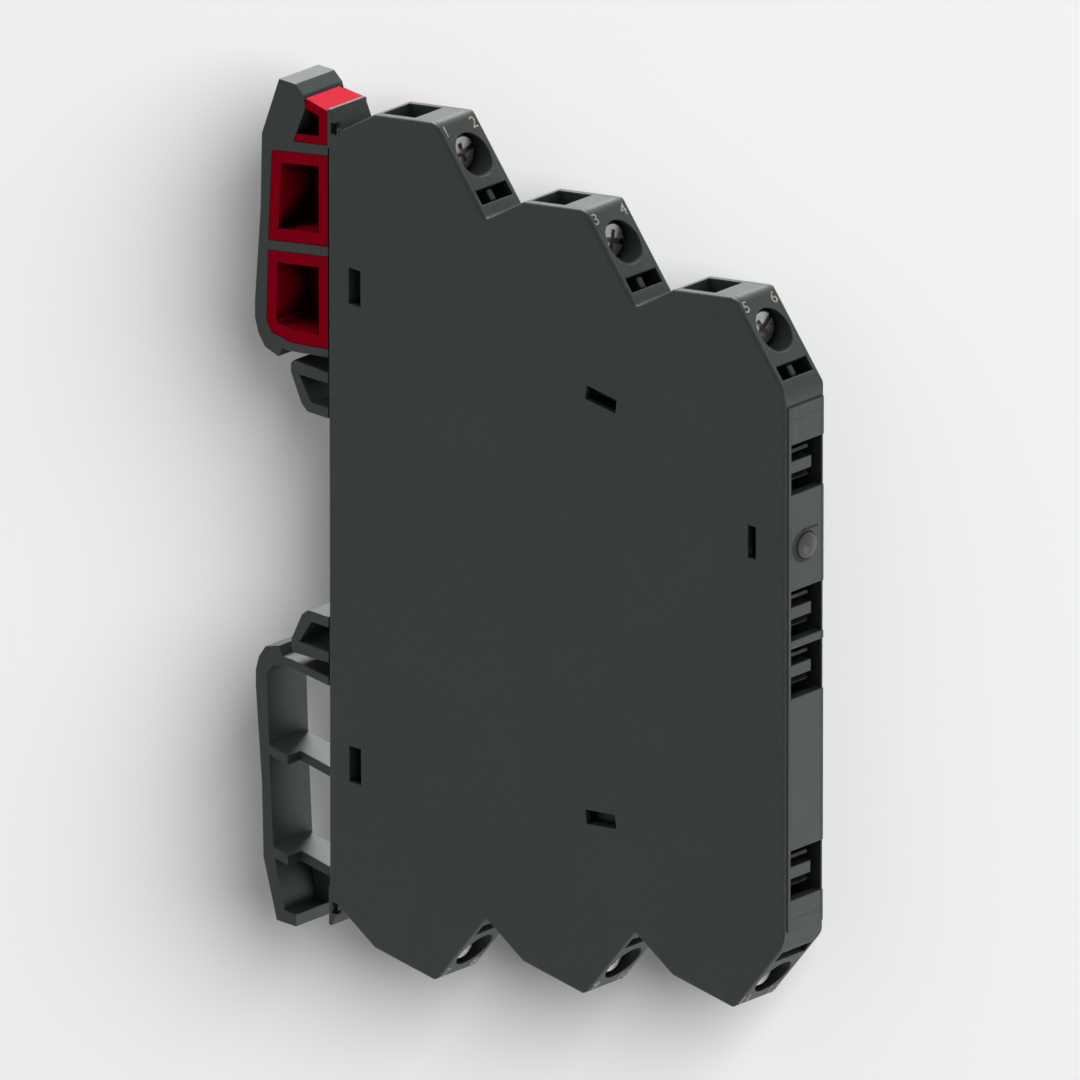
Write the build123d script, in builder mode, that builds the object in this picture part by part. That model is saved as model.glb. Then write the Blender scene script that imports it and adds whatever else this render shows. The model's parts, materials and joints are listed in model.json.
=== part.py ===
"""Slim signal conditioner for a 35 mm mounting rail, 6.2 mm wide.

The frame: X runs from the rail to the front of the module, Y across its
thickness, Z up. The origin is the middle of the plane on which the front of the
rail seats, so the near side is at low Y and the closing cover at high Y.
"""
from build123d import *
import os
from math import atan2, cos, degrees, radians, sin

os.makedirs("parts", exist_ok=True)

# Overall sizes
module_width = 6.2
near_wall = 0.7
cover_thickness = 0.7
edge_wall = 0.9
outline_round = 0.5
edge_round = 0.35

# The rail and the depth of the hooks that stand on it
rail_height = 35.0
rail_flange = 1.0
rail_play = 0.5
hook_depth = 5.6

# The stepped terminal tiers: three on top, three mirrored below
tier_count = 3
tier_start_x = 1.2
tier_start_z = 45.1
tier_pitch_x = 22.3
tier_pitch_z = 4.4
rise_x = 5.6
rise_z = 3.5
top_x = 9.2
top_z = 1.4

# The terminal chamber, measured along the tier's top face from its rear corner
cage_rear = 0.4
cage_rear_wall = 0.7
cage_front_wall = 1.2
cage_side_wall = 0.5
cage_opening = 3.8
cage_width = 4.4
cage_height = 4.4
cage_travel = 2.0
cage_play = 0.2
axis_drop = 4.1
entry_start = 0.5
entry_length = 5.0
entry_width = 4.3
bar_gap = 2.8
bar_thickness = 0.6
bar_width = 3.0
bar_play = 0.1
screw_tip_gap = 0.05
screw_diameter = 2.4
screw_clearance = 0.05
screw_head_diameter = 4.0
screw_head_height = 1.5
screw_slot_width = 0.6
screw_slot_depth = 0.7
driver_bore = 4.6
test_slot_height = 1.75
test_slot_width = 4.8
test_slot_depth = 2.6
test_slot_share = 0.79

# The front face
front_proud = 0.25
front_margin = 1.3
socket_height = 5.8
socket_centres = (23.1, 6.2, -0.5, -23.9)
socket_depth = 5.5
socket_tongue = 1.35
tongue_reach = 3.8
tongue_setback = 0.35
cover_relief = 0.35
lamp_height = 13.9
lamp_diameter = 3.0
lamp_clearance = 0.1
lamp_length = 3.8
lead_width = 0.45
lamp_proud = 0.9

# Feet and support hooks, measured back from the body's rear edge
foot_reach = 11.0
foot_wall = 1.7
foot_top = 49.2
foot_web = 1.1
web_low = 28.7
web_high = 40.45
web_slope = 0.16
lip_grip = 0.6
hook_wall = 1.2
foot_back_plate = 0.8
web_recess_start = 6.2
web_recess = 2.0

# The red insert
insert_wall = 1.35
insert_play = 0.05
loop_wall = 0.95

# The circuit board and what stands on it
board_thickness = 1.2
board_margin = 0.5
board_back_gap = 5.4
board_front_gap = 6.0
fork_reach = 1.5
fork_clearance = 0.2
post_diameter = 3.0

# Values worked out from those above
near_face = -module_width / 2
far_face = module_width / 2
near_inside = near_face + near_wall
cover_inside = far_face - cover_thickness
body_back = hook_depth
body_front = body_back + tier_start_x + tier_count * tier_pitch_x
front_corner = tier_start_z - tier_count * tier_pitch_z
tier_slope = degrees(atan2(top_z, top_x))
rail_half = rail_height / 2
slot_end = rail_half + rail_play
cage_length = cage_rear_wall + cage_opening + cage_front_wall
chamber_start = cage_rear - cage_play
chamber_end = cage_rear + cage_length + cage_travel + cage_play
chamber_top = axis_drop - cage_height / 2 - cage_play
chamber_bottom = axis_drop + cage_height / 2 + cage_play
bar_start = cage_rear + cage_rear_wall + bar_gap
screw_tip = bar_start + bar_thickness + screw_tip_gap
head_start = chamber_end + cage_play / 2
board_near = -board_thickness / 2
board_far = board_thickness / 2
stair_slope = tier_pitch_z / tier_pitch_x


def side_plane(y):
    """The plane at this Y whose sketch axes are X and Z; it faces low Y."""
    return Plane.XZ.offset(-y)


def tier_corner(tier):
    """The rear end of a tier's top face, where its rising face meets it."""
    x = body_back + tier_start_x + tier * tier_pitch_x + rise_x
    return x, tier_start_z - tier * tier_pitch_z + rise_z


def tier_plane(tier, side):
    """Sketch axes along the top face and across the module, normal out of it."""
    x, z = tier_corner(tier)
    tilt = radians(tier_slope)
    along = (cos(tilt), 0, side * sin(tilt))
    outward = (-sin(tilt), 0, side * cos(tilt))
    return Plane(origin=(x, 0, side * z), x_dir=along, z_dir=outward)


def axis_plane(tier, side, distance):
    """Across the screw's axis, this far along the top face; it faces forward."""
    frame = tier_plane(tier, side)
    centre = frame.from_local_coords(Vector(distance, 0, -axis_drop))
    return Plane(origin=centre, x_dir=frame.y_dir, z_dir=frame.x_dir)


def stair_points():
    """The stepped top of the side outline, from the back to the front corner."""
    points = []
    for tier in range(tier_count):
        x, z = tier_corner(tier)
        points.append((x - rise_x, z - rise_z))
        points.append((x, z))
        points.append((x + top_x, z + top_z))
    points.append((body_front, front_corner))
    return points


def body_outline():
    """The side outline of the body, the same above and below."""
    upper = [(body_back, tier_start_z)] + stair_points()
    lower = [(x, -z) for x, z in reversed(upper)]
    return upper + lower


def mirrored(points):
    return [(x, -z) for x, z in points]


def from_back(points):
    """Points measured back from the body's rear edge."""
    return [(body_back - x, z) for x, z in points]


def stair_line(drop, x):
    """Height of a line that runs parallel to the steps, below their corners."""
    corner_x, corner_z = tier_corner(0)
    return corner_z - drop - stair_slope * (x - corner_x)


terminals = []
for side in (1, -1):
    for tier in range(tier_count):
        terminals.append((tier, side))

# The space for the electronics lies under the terminal blocks.
block_drop = chamber_bottom + 1.0
space_back = body_back + edge_wall
space_front = body_front - edge_wall

# How far below the top face a current bar meets the board's edge
tilt_angle = radians(tier_slope)
bar_middle = bar_start + bar_thickness / 2
bar_fall = bar_middle * (sin(tilt_angle) + stair_slope * cos(tilt_angle))
edge_drop = (block_drop + board_margin + bar_fall) / (cos(tilt_angle) - stair_slope * sin(tilt_angle))


def space_outline(margin):
    """The outline of the inner space, or of what stands inside it by a margin."""
    back = space_back + margin
    front = space_front - margin
    upper = [
        (back, stair_line(block_drop + margin, back)),
        (front, stair_line(block_drop + margin, front)),
    ]
    return upper + [(x, -z) for x, z in reversed(upper)]


# Latches: centre back-to-front from the body's rear edge, height, length along
# the latch, width across it, turn in degrees, and the side that the catch is on.
latch_rear = (4.0, 27.9, 4.2, 1.8, 90.0, 1)
latch_middle = (40.8, 24.4, 4.5, 1.65, -7.0, 1)
latch_front = (63.2, 13.7, 3.8, 1.2, 90.0, -1)
lead_gap = 1.4


def flipped(latch):
    reach, height, length, width, turn, catch_side = latch
    return (reach, -height, length, width, -turn, -catch_side)


latches = [latch_rear, latch_middle, latch_front, flipped(latch_rear), flipped(latch_middle)]
prong_thickness = 0.75
barb = 0.4
catch_wall = 0.8
catch_gap = 0.1
barb_height = 0.8
barb_depth = 1.6
ledge_height = 0.7


def latch_spot(latch, across):
    """Where a latch feature lies, moved across the latch toward its catch."""
    reach, height, length, width, turn, catch_side = latch
    angle = radians(turn)
    shift = across * catch_side
    x = body_back + reach - shift * sin(angle)
    z = height + shift * cos(angle)
    return Location((x, z, 0), (0, 0, turn))


# Posts on both sides of the board, from the body's rear edge and mid-height
board_posts = ((14.0, 33.0), (57.0, 24.0), (14.0, -33.0), (57.0, -24.0))


def web_line(height, x):
    """The webs of a foot fall toward its outer wall."""
    return height + web_slope * (foot_reach - x)


def foot_underside():
    """The lip that grips the rail, from the body round to the outer wall."""
    flange_back = hook_depth + rail_flange
    return [
        (0.0, slot_end + 0.7),
        (hook_depth, slot_end),
        (flange_back + 0.3, slot_end),
        (flange_back + 0.9, rail_half - lip_grip),
        (foot_reach - 1.5, slot_end - 0.5),
        (foot_reach - 0.5, slot_end + 0.9),
        (foot_reach, slot_end + 2.6),
        (foot_reach, slot_end + 4.5),
        (foot_reach - 0.9, web_low + 5.0),
        (foot_reach - 1.1, web_high + 1.8),
    ]


def low_window():
    """The window between the lip and the lower web."""
    outer = foot_reach - foot_wall
    return [
        (0.0, slot_end + 1.6),
        (hook_depth, slot_end + 1.0),
        (outer - 0.9, slot_end + 1.4),
        (outer, slot_end + 2.6),
        (outer - 0.3, web_line(web_low, outer)),
        (0.0, web_line(web_low, 0.0)),
    ]


def high_window():
    """The window between the two webs."""
    outer = foot_reach - foot_wall
    return [
        (0.0, web_line(web_low + foot_web, 0.0)),
        (outer - 0.3, web_line(web_low + foot_web, outer)),
        (outer - 0.9, web_line(web_high, outer)),
        (0.0, web_line(web_high, 0.0)),
    ]


def cap_slant():
    """The slanted inner side of the upper foot's cap, from its foot to its top."""
    web_top = web_high + foot_web
    return [(5.2, web_line(web_top, 5.2)), (3.3, foot_top - 2.2)]


def insert_plate():
    """The thin plate behind the upper foot that joins the insert's cups and loop."""
    outer = foot_reach - foot_wall
    web_top = web_high + foot_web
    return low_window()[:4] + [
        (outer - 0.3, web_line(web_low, outer)),
        (outer - 0.9, web_line(web_high, outer)),
        (5.6, web_line(web_top, 5.6)),
        (3.6, foot_top - 1.6),
        (0.0, tier_start_z + 2.2),
    ]


def insert_loop():
    """The top loop between the cap's slant and the body."""
    web_top = web_high + foot_web
    return cap_slant() + [
        (3.4, foot_top - 1.2),
        (0.0, tier_start_z + 2.2),
        (0.0, web_line(web_top, 0.0)),
    ]


def loop_hole():
    """The opening of the top loop, which the cap's slant closes at the back."""
    web_top = web_high + foot_web + loop_wall
    top = tier_start_z + 2.2 - loop_wall
    return [
        (6.5, web_line(web_top, 6.5)),
        (insert_wall, web_line(web_top, insert_wall)),
        (insert_wall, top),
        (3.0, top + 0.4),
        (5.5, top + 0.5),
    ]


def hook_outline():
    """The hollow support hook: the rail seats on its rear end."""
    return [
        (0.0, rail_half - 5.9),
        (3.1, rail_half - 5.9),
        (4.0, rail_half - 5.2),
        (hook_depth, rail_half - 1.9),
        (hook_depth, rail_half - 0.9),
        (hook_depth - 0.5, rail_half - 0.4),
        (0.0, rail_half - 0.6),
    ]


def hook_hole():
    return [
        (0.0, rail_half - 5.9 + hook_wall),
        (2.6, rail_half - 5.9 + hook_wall),
        (hook_depth - hook_wall, rail_half - 0.7 - hook_wall),
        (0.0, rail_half - 0.6 - hook_wall),
    ]


# The housing's moulding: near side wall, edge walls, terminal blocks, feet and hooks
with BuildPart() as moulding:
    with BuildSketch(side_plane(cover_inside)) as body_sketch:
        Polygon(*body_outline(), align=None)
        fillet(body_sketch.vertices(), radius=outline_round)
    extrude(amount=cover_inside - near_face)
    fillet(moulding.faces().sort_by(Axis.Y)[0].edges(), radius=edge_round)

    # The front face stands a little proud between its two corners.
    pad_half = front_corner - front_margin
    with BuildSketch(side_plane(cover_inside)):
        with Locations((body_front, 0)):
            Rectangle(2 * front_proud, 2 * pad_half)
    extrude(amount=cover_inside - near_face - edge_round)

    # Inner space for the board
    with BuildSketch(side_plane(cover_inside)):
        Polygon(*space_outline(0.0), align=None)
    extrude(amount=cover_inside - near_inside, mode=Mode.SUBTRACT)

    # Terminal chambers, wire entries, driver bores, bar slots and test slots
    for tier, side in terminals:
        frame = tier_plane(tier, side)
        chamber_length = chamber_end - chamber_start
        with BuildSketch(frame.offset(-chamber_bottom)):
            with Locations((chamber_start + chamber_length / 2, 0)):
                Rectangle(chamber_length, cover_inside - near_inside)
        extrude(amount=chamber_bottom - chamber_top, mode=Mode.SUBTRACT)
        with BuildSketch(frame.offset(-chamber_top - cage_play)):
            with Locations((entry_start + entry_length / 2, 0)):
                Rectangle(entry_length, entry_width)
        extrude(amount=chamber_top + cage_play + 1.0, mode=Mode.SUBTRACT)
        with BuildSketch(axis_plane(tier, side, chamber_end - cage_play)):
            Circle(driver_bore / 2)
        extrude(amount=top_x + rise_x, mode=Mode.SUBTRACT)
        with BuildSketch(frame.offset(-edge_drop)):
            with Locations((bar_middle, 0)):
                Rectangle(bar_thickness + 2 * bar_play, bar_width + 2 * bar_play)
        extrude(amount=edge_drop - axis_drop, mode=Mode.SUBTRACT)
        slope_x = tier_pitch_x - rise_x - top_x
        slope_z = rise_z + top_z + tier_pitch_z
        corner_x, corner_z = tier_corner(tier)
        spot_x = corner_x + top_x + test_slot_share * slope_x
        spot_z = corner_z + top_z - test_slot_share * slope_z
        slot_plane = Plane(
            origin=(spot_x, 0, side * spot_z),
            x_dir=(0, 1, 0),
            z_dir=(slope_z, 0, side * slope_x),
        )
        with BuildSketch(slot_plane.offset(-test_slot_depth)):
            Rectangle(test_slot_width, test_slot_height)
        extrude(amount=2 * test_slot_depth, mode=Mode.SUBTRACT)

    # Four bridge receptacles, each with a tongue across its middle
    for centre in socket_centres:
        with BuildSketch(side_plane(cover_inside)):
            with Locations((body_front, centre)):
                Rectangle(2 * socket_depth, socket_height)
        extrude(amount=cover_inside - near_inside, mode=Mode.SUBTRACT)
        tongue_length = socket_depth - tongue_setback
        with BuildSketch(side_plane(near_inside + tongue_reach)):
            with Locations((body_front - tongue_setback - tongue_length / 2, centre)):
                Rectangle(tongue_length, socket_tongue)
        extrude(amount=tongue_reach)

    # The lamp's hole
    with BuildSketch(Plane.YZ.offset(body_front - 2 * edge_wall)):
        with Locations((0, lamp_height)):
            Circle(lamp_diameter / 2 + lamp_clearance)
    extrude(amount=3 * edge_wall, mode=Mode.SUBTRACT)

    # Latch windows in the near wall, and the catches beside them
    for latch in latches:
        reach, height, length, width, turn, catch_side = latch
        catch_top = near_inside + barb_depth - near_wall + barb_height + catch_gap
        with BuildSketch(side_plane(catch_top + ledge_height)):
            with Locations(latch_spot(latch, width / 2 + catch_wall / 2)):
                Rectangle(length, catch_wall)
        extrude(amount=catch_top + ledge_height - near_inside)
        with BuildSketch(side_plane(catch_top + ledge_height)):
            with Locations(latch_spot(latch, width / 2 - barb / 2)):
                Rectangle(length, barb)
        extrude(amount=ledge_height)
        with BuildSketch(side_plane(near_inside)):
            with Locations(latch_spot(latch, 0)):
                Rectangle(length, width)
        extrude(amount=near_wall, mode=Mode.SUBTRACT)

    # Posts that the board lies on
    for post_x, post_z in board_posts:
        with BuildSketch(side_plane(board_near)):
            with Locations((body_back + post_x, post_z)):
                Circle(post_diameter / 2)
        extrude(amount=board_near - near_inside)

    # Small ears at the rear corners, with a notch beside each
    for side in (1, -1):
        ear = [
            (0.0, tier_start_z - 2.0),
            (0.0, tier_start_z + 2.5),
            (-0.4, tier_start_z + 2.5),
            (-tier_start_x - 0.4, tier_start_z),
            (-tier_start_x - 0.4, tier_start_z - 2.0),
        ]
        with BuildSketch(side_plane(cover_inside)):
            Polygon(*[(x, side * z) for x, z in from_back(ear)], align=None)
        extrude(amount=cover_inside - near_face)
        with BuildSketch(side_plane(near_inside)):
            with Locations((body_back + 0.9, side * (tier_start_z + 0.4))):
                Rectangle(0.9, 1.3)
        extrude(amount=near_wall, mode=Mode.SUBTRACT)

    # Upper foot: a frame with a solid cap, its webs set in for the insert's plate
    cap = [(foot_reach - 3.7, foot_top), (4.9, foot_top), (3.7, foot_top - 1.0)]
    upper_foot = foot_underside() + cap + list(reversed(cap_slant()))
    upper_foot.append((0.0, web_line(web_high + foot_web, 0.0)))
    with BuildSketch(side_plane(far_face)):
        Polygon(*from_back(upper_foot), align=None)
    extrude(amount=module_width)
    for window in (low_window(), high_window()):
        with BuildSketch(side_plane(far_face)):
            Polygon(*from_back(window), align=None)
        extrude(amount=module_width, mode=Mode.SUBTRACT)

    with BuildSketch(side_plane(far_face)):
        Polygon(*from_back(insert_plate()), align=None)
    extrude(amount=foot_back_plate, mode=Mode.SUBTRACT)

    # Lower foot: the same frame left open, with an open pocket at its end
    end = [(foot_reach - 3.1, foot_top), (5.0, foot_top), (5.0, foot_top - 1.4), (0.0, tier_start_z)]
    lower_foot = foot_underside() + end
    with BuildSketch(side_plane(far_face)):
        Polygon(*mirrored(from_back(lower_foot)), align=None)
    extrude(amount=module_width)
    for window in (low_window(), high_window()):
        with BuildSketch(side_plane(far_face)):
            Polygon(*mirrored(from_back(window)), align=None)
        extrude(amount=module_width, mode=Mode.SUBTRACT)
    pocket_outer = foot_reach - foot_wall - 1.1
    end_pocket = [
        (0.0, web_line(web_high + foot_web, 0.0)),
        (pocket_outer, web_line(web_high + foot_web, pocket_outer)),
        (pocket_outer - 1.5, foot_top - 1.4),
        (0.0, foot_top - 1.4),
    ]
    with BuildSketch(side_plane(far_face - foot_back_plate)):
        Polygon(*mirrored(from_back(end_pocket)), align=None)
    extrude(amount=module_width - foot_back_plate, mode=Mode.SUBTRACT)
    for height in (web_low, web_high):
        web_gap = [
            (0.0, web_line(height, 0.0) - 0.1),
            (web_recess_start, web_line(height, web_recess_start) - 0.1),
            (web_recess_start, web_line(height + foot_web, web_recess_start) + 0.1),
            (0.0, web_line(height + foot_web, 0.0) + 0.1),
        ]
        with BuildSketch(side_plane(near_face + web_recess)):
            Polygon(*mirrored(from_back(web_gap)), align=None)
        extrude(amount=web_recess, mode=Mode.SUBTRACT)

    # Hollow support hooks
    for flip in (False, True):
        outline = from_back(hook_outline())
        hole = from_back(hook_hole())
        if flip:
            outline = mirrored(outline)
            hole = mirrored(hole)
        with BuildSketch(side_plane(far_face)):
            Polygon(*outline, align=None)
            Polygon(*hole, align=None, mode=Mode.SUBTRACT)
        extrude(amount=module_width)


# The moulding is kept as the simple forms that it divides into. They meet face
# to face: six terminal blocks, the front wall, two feet, two hooks and the rest.
def block_region(tier, side):
    """The stretch of the stepped edge that holds one terminal block."""
    start = body_back + tier_start_x + tier * tier_pitch_x if tier else body_back
    end = body_back + tier_start_x + (tier + 1) * tier_pitch_x
    if tier == tier_count - 1:
        end = beyond_front
    region = [
        (start, stair_line(block_drop, start)),
        (end, stair_line(block_drop, end)),
        (end, beyond_top),
        (start, beyond_top),
    ]
    return region if side > 0 else mirrored(region)


def front_region():
    """The front wall, with the tongues that stand inward from it."""
    wall = [
        (space_front, stair_line(block_drop, space_front)),
        (beyond_front, stair_line(block_drop, beyond_front)),
    ]
    regions = [wall + [(x, -z) for x, z in reversed(wall)]]
    for centre in socket_centres:
        low = centre - socket_tongue / 2
        high = centre + socket_tongue / 2
        inner = body_front - socket_depth
        regions.append([(inner, low), (space_front, low), (space_front, high), (inner, high)])
    return regions


def hook_region():
    """What stands behind the body in front of the rail."""
    return [(0.0, 0.0), (body_back, 0.0), (body_back, rail_half), (0.0, rail_half)]


def foot_region():
    """What stands behind the body beyond the rail's edge, with the lip behind it."""
    return [
        (0.0, 0.0),
        (0.0, rail_half),
        (body_back, rail_half),
        (body_back, beyond_top),
        (beyond_back, beyond_top),
        (beyond_back, 0.0),
    ]


beyond_front = body_front + edge_wall
beyond_back = body_back - foot_reach - edge_wall
beyond_top = foot_top + edge_wall
inside = (cover_inside, near_inside)
full_width = (far_face, near_face)
forms = {
    "front_wall": (front_region(), inside),
    "upper_foot": ([foot_region()], full_width),
    "lower_foot": ([mirrored(foot_region())], full_width),
    "upper_hook": ([hook_region()], full_width),
    "lower_hook": ([mirrored(hook_region())], full_width),
}
for number, (tier, side) in enumerate(terminals, start=1):
    forms[f"terminal_block_{number}"] = ([block_region(tier, side)], inside)

for name, (regions, (high_y, low_y)) in forms.items():
    with BuildPart() as form:
        with BuildSketch(side_plane(high_y)):
            for region in regions:
                Polygon(*region, align=None)
        extrude(amount=high_y - low_y)
        add(moulding.part, mode=Mode.INTERSECT)
    form.part.label = name
    export_step(form.part, f"parts/{name}.step")

with BuildPart() as main_shell:
    add(moulding.part)
    for regions, (high_y, low_y) in forms.values():
        with BuildSketch(side_plane(high_y)):
            for region in regions:
                Polygon(*region, align=None)
        extrude(amount=high_y - low_y, mode=Mode.SUBTRACT)
main_shell.part.label = "main_shell"
export_step(main_shell.part, "parts/main_shell.step")

# Side cover: the far plate with its latch prongs and board posts
with BuildPart() as side_cover:
    with BuildSketch(side_plane(far_face)) as cover_sketch:
        Polygon(*body_outline(), align=None)
        fillet(cover_sketch.vertices(), radius=outline_round)
    extrude(amount=cover_thickness)
    fillet(side_cover.faces().sort_by(Axis.Y)[-1].edges(), radius=edge_round)
    with BuildSketch(side_plane(far_face - edge_round)):
        with Locations((body_front, 0)):
            Rectangle(2 * front_proud, 2 * pad_half)
    extrude(amount=cover_thickness - edge_round)
    for centre in socket_centres:
        with BuildSketch(side_plane(cover_inside + cover_relief)):
            with Locations((body_front, centre)):
                Rectangle(2 * socket_depth, socket_height)
        extrude(amount=cover_relief, mode=Mode.SUBTRACT)
    prong_end = near_face + barb_depth
    for latch in latches:
        reach, height, length, width, turn, catch_side = latch
        prong_face = width / 2 - barb - catch_gap
        with BuildSketch(side_plane(cover_inside)):
            with Locations(latch_spot(latch, prong_face - prong_thickness / 2)):
                Rectangle(length - 2 * catch_gap, prong_thickness)
        extrude(amount=cover_inside - prong_end)
        with BuildSketch(side_plane(prong_end + barb_height)):
            with Locations(latch_spot(latch, prong_face + barb / 2)):
                Rectangle(length - 2 * catch_gap, barb)
        extrude(amount=barb_height)
    for post_x, post_z in board_posts:
        with BuildSketch(side_plane(cover_inside)):
            with Locations((body_back + post_x, post_z)):
                Circle(post_diameter / 2)
        extrude(amount=cover_inside - board_far)
side_cover.part.label = "side_cover"
export_step(side_cover.part, "parts/side_cover.step")


# Terminals: screw, clamp cage and current bar of each
def make_screw(tier, side, turn):
    """A combination-head clamp screw, its tip just off the current bar."""
    shank_length = head_start - screw_tip
    with BuildPart() as screw:
        with BuildSketch(axis_plane(tier, side, screw_tip)):
            Circle(screw_diameter / 2)
        extrude(amount=shank_length)
        with BuildSketch(axis_plane(tier, side, head_start)):
            Circle(screw_head_diameter / 2)
        extrude(amount=screw_head_height)
        top = screw.faces().sort_by(Axis.X)[-1]
        chamfer(top.edges(), length=0.2)
        with BuildSketch(axis_plane(tier, side, head_start + screw_head_height)):
            Rectangle(screw_head_diameter, screw_slot_width, rotation=turn)
            Rectangle(screw_slot_width, 0.6 * screw_head_diameter, rotation=turn)
        extrude(amount=-screw_slot_depth, mode=Mode.SUBTRACT)
    return screw.part


def make_cage(tier, side):
    """A clamp cage: a loop open to the wire, with a threaded front wall."""
    frame = tier_plane(tier, side)
    with BuildPart() as cage:
        with BuildSketch(frame.offset(-axis_drop - cage_height / 2)):
            with Locations((cage_rear + cage_length / 2, 0)):
                Rectangle(cage_length, cage_width)
            with Locations((cage_rear + cage_rear_wall + cage_opening / 2, 0)):
                Rectangle(cage_opening, cage_width - 2 * cage_side_wall, mode=Mode.SUBTRACT)
        extrude(amount=cage_height)
        with BuildSketch(axis_plane(tier, side, cage_rear + cage_length / 2)):
            Circle(screw_diameter / 2 + screw_clearance)
        extrude(amount=cage_length, mode=Mode.SUBTRACT)
    return cage.part


def make_bar(tier, side):
    """A current bar, forked over the edge of the board."""
    frame = tier_plane(tier, side)
    bar_top = axis_drop - cage_height / 2 + cage_play
    with BuildPart() as bar:
        with BuildSketch(frame.offset(-edge_drop - fork_reach)):
            with Locations((bar_middle, 0)):
                Rectangle(bar_thickness, bar_width)
        extrude(amount=edge_drop + fork_reach - bar_top)
        with BuildSketch(frame.offset(-edge_drop - fork_reach)):
            with Locations((bar_middle, 0)):
                Rectangle(bar_thickness, board_thickness)
        extrude(amount=fork_reach + fork_clearance, mode=Mode.SUBTRACT)
    return bar.part


slot_turns = (15.0, -20.0, 35.0, -10.0, 25.0, 50.0)
for number, (tier, side) in enumerate(terminals, start=1):
    screw = make_screw(tier, side, slot_turns[number - 1])
    screw.label = f"terminal_screw_{number}"
    export_step(screw, f"parts/terminal_screw_{number}.step")
    cage = make_cage(tier, side)
    cage.label = f"clamp_cage_{number}"
    export_step(cage, f"parts/clamp_cage_{number}.step")
    bar = make_bar(tier, side)
    bar.label = f"current_bar_{number}"
    export_step(bar, f"parts/current_bar_{number}.step")

# Foot insert: two cups and a top loop on one thin plate
plate_inside = far_face - foot_back_plate
with BuildPart() as foot_insert:
    with BuildSketch(side_plane(far_face)):
        Polygon(*from_back(insert_plate()), align=None)
        offset(amount=-insert_play, kind=Kind.INTERSECTION, mode=Mode.REPLACE)
    extrude(amount=foot_back_plate)
    for form in (low_window(), high_window(), insert_loop()):
        with BuildSketch(side_plane(plate_inside)):
            Polygon(*from_back(form), align=None)
            offset(amount=-insert_play, kind=Kind.INTERSECTION, mode=Mode.REPLACE)
        extrude(amount=plate_inside - near_face - insert_play)
    for form in (low_window(), high_window()):
        with BuildSketch(side_plane(plate_inside)):
            Polygon(*from_back(form), align=None)
            offset(amount=-insert_play - insert_wall, kind=Kind.INTERSECTION, mode=Mode.REPLACE)
        extrude(amount=module_width, mode=Mode.SUBTRACT)
    with BuildSketch(side_plane(plate_inside)):
        Polygon(*from_back(loop_hole()), align=None)
    extrude(amount=module_width, mode=Mode.SUBTRACT)
foot_insert.part.label = "foot_insert"
export_step(foot_insert.part, "parts/foot_insert.step")

# Circuit board with cut-outs for the middle latches and the transformer's legs
board_back = body_back + board_back_gap
board_front = body_front - board_front_gap
core_x = body_back + 30.0
core_length = 13.0
core_height = 11.0
core_depth = 4.2
core_leg = 1.6
core_middle_leg = 3.2
leg_clearance = 0.15
winding_gap = (core_length - core_middle_leg - 2 * core_leg) / 2
leg_offset = core_length / 2 - core_leg / 2
with BuildPart() as circuit_board:
    with BuildSketch(side_plane(board_far)):
        upper = []
        for x in (board_back, board_front):
            upper.append((x, stair_line(block_drop + board_margin, x)))
        Polygon(*upper, *[(x, -z) for x, z in reversed(upper)], align=None)
        for latch in latches:
            reach, height, length, width, turn, catch_side = latch
            with Locations(latch_spot(latch, 0)):
                Rectangle(length + 1.2, width + 2 * catch_wall + 0.8, mode=Mode.SUBTRACT)
        with Locations((core_x - leg_offset, 0), (core_x + leg_offset, 0)):
            Rectangle(core_leg + 2 * leg_clearance, core_height + 2 * leg_clearance, mode=Mode.SUBTRACT)
        with Locations((core_x, 0)):
            Rectangle(core_middle_leg + 2 * leg_clearance, core_height + 2 * leg_clearance, mode=Mode.SUBTRACT)
    extrude(amount=board_thickness)
circuit_board.part.label = "circuit_board"
export_step(circuit_board.part, "parts/circuit_board.step")

# Transformer core: two plates joined by three legs through the board
with BuildPart() as transformer_core:
    with BuildSketch(side_plane(core_depth / 2)):
        with Locations((core_x, 0)):
            Rectangle(core_length, core_height)
    extrude(amount=core_depth)
    with BuildSketch(side_plane(board_far)):
        shift = core_middle_leg / 2 + winding_gap / 2
        with Locations((core_x - shift, 0), (core_x + shift, 0)):
            Rectangle(winding_gap, core_height)
    extrude(amount=board_thickness, mode=Mode.SUBTRACT)
transformer_core.part.label = "transformer_core"
export_step(transformer_core.part, "parts/transformer_core.step")


# Parts soldered to the board: centre from the body's rear edge and mid-height
def chips_on_board(places, length, height, thickness, on_far_side):
    """Flat parts that lie on one face of the board, as separate solids."""
    with BuildPart() as chips:
        start = board_far + thickness if on_far_side else board_near
        with BuildSketch(side_plane(start)):
            with Locations(*[(body_back + x, z) for x, z in places]):
                Rectangle(length, height)
        extrude(amount=thickness)
    return chips.part


processor_chip = chips_on_board([(48.0, 7.0)], 7.0, 7.0, 1.0, True)
processor_chip.label = "processor_chip"
export_step(processor_chip, "parts/processor_chip.step")

isolator_chips = chips_on_board([(30.0, 17.0), (30.0, -17.0)], 10.3, 7.5, 1.5, False)
isolator_chips.label = "isolator_chips"
export_step(isolator_chips, "parts/isolator_chips.step")

capacitor_places = [(18.0, 20.0), (18.0, 14.0), (18.0, -14.0), (18.0, -20.0), (50.0, -8.0), (50.0, -14.0)]
filter_capacitors = chips_on_board(capacitor_places, 4.5, 3.2, 1.6, True)
filter_capacitors.label = "filter_capacitors"
export_step(filter_capacitors, "parts/filter_capacitors.step")

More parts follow.
